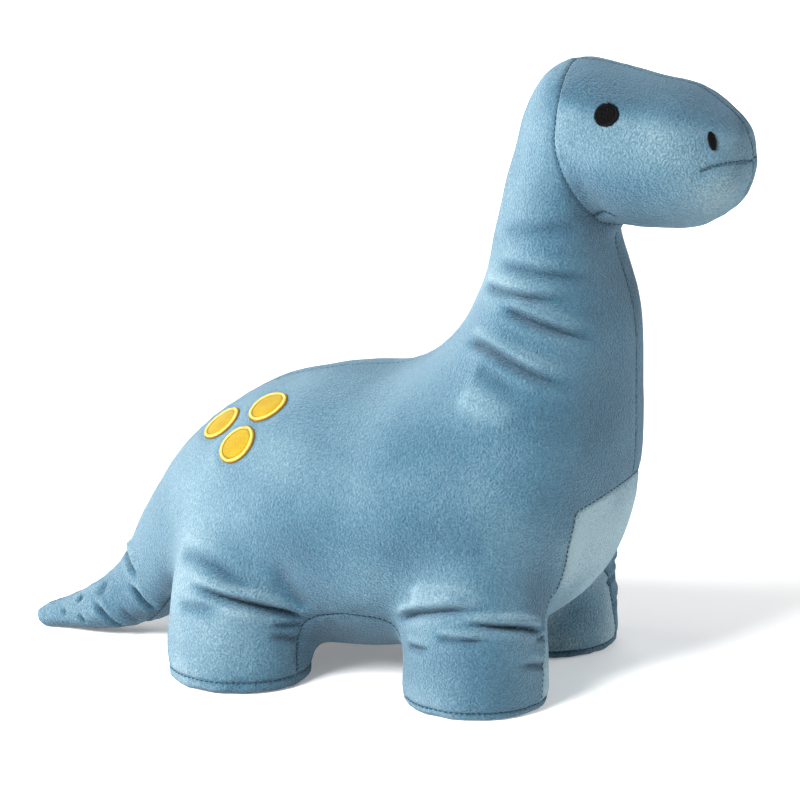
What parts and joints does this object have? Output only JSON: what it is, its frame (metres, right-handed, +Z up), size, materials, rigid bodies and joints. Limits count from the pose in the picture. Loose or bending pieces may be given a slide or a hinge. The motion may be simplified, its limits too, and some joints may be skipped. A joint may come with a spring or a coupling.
{
  "type": "stuffed dinosaur",
  "caption": "Long-necked stuffed dinosaur of sewn plush panels over fibre filling, with a flexing neck, head and tail, standing on short legs.",
  "frame": {"origin": "on the ground under the middle of the whole length, in the animal's middle plane", "axes": "+X to the head, +Y to the animal's left, +Z up"},
  "size_m": [0.3961, 0.191, 0.3362],
  "materials": {
    "plush": "short-pile velvety plush",
    "fibre_filling": "loose polyester fibre",
    "spot_felt": "short-nap golden cloth",
    "spot_thread": "golden satin-stitch thread",
    "black_thread": "black embroidery thread",
    "seam_thread": "blue sewing thread"
  },
  "bodies": {
    "torso": {"leg_filling_front_left": "fibre_filling", "leg_filling_front_right": "fibre_filling", "leg_filling_rear_left": "fibre_filling", "leg_filling_rear_right": "fibre_filling", "sole_front_left": "plush", "sole_front_right": "plush", "sole_rear_left": "plush", "sole_rear_right": "plush", "spot_border_front_left": "spot_thread", "spot_border_front_right": "spot_thread", "spot_border_lower_left": "spot_thread", "spot_border_lower_right": "spot_thread", "spot_border_rear_left": "spot_thread", "spot_border_rear_right": "spot_thread", "spot_front_left": "spot_felt", "spot_front_right": "spot_felt", "spot_lower_left": "spot_felt", "spot_lower_right": "spot_felt", "spot_rear_left": "spot_felt", "spot_rear_right": "spot_felt", "torso_filling": "fibre_filling", "torso_panel_left": "plush", "torso_panel_right": "plush", "underbody_gusset": "plush"},
    "neck": {"neck_filling": "fibre_filling", "neck_panel_left": "plush", "neck_panel_right": "plush"},
    "head": {"eye_border_left": "black_thread", "eye_border_right": "black_thread", "eye_left": "black_thread", "eye_right": "black_thread", "head_filling": "fibre_filling", "head_panel_left": "plush", "head_panel_right": "plush", "nostril_left": "black_thread", "nostril_right": "black_thread"},
    "tail": {"tail_filling": "fibre_filling", "tail_gusset": "plush", "tail_panel_left": "plush", "tail_panel_right": "plush"}
  },
  "joints": [
    {"name": "neck_bend", "type": "hinge", "parent": "torso", "child": "neck", "pos_m": [0.0975, 0, 0.196], "axis": [0, 1, 0], "range_deg": [-12, 12], "stiffness_Nm_per_rad": 3},
    {"name": "head_nod", "type": "hinge", "parent": "neck", "child": "head", "pos_m": [0.11, 0, 0.2915], "axis": [0, 1, 0], "range_deg": [-12, 12], "stiffness_Nm_per_rad": 1.5},
    {"name": "tail_swing", "type": "hinge", "parent": "torso", "child": "tail", "pos_m": [-0.11, 0, 0.057], "axis": [-0.4695, 0, 0.8829], "range_deg": [-15, 15], "stiffness_Nm_per_rad": 0.5}
  ]
}
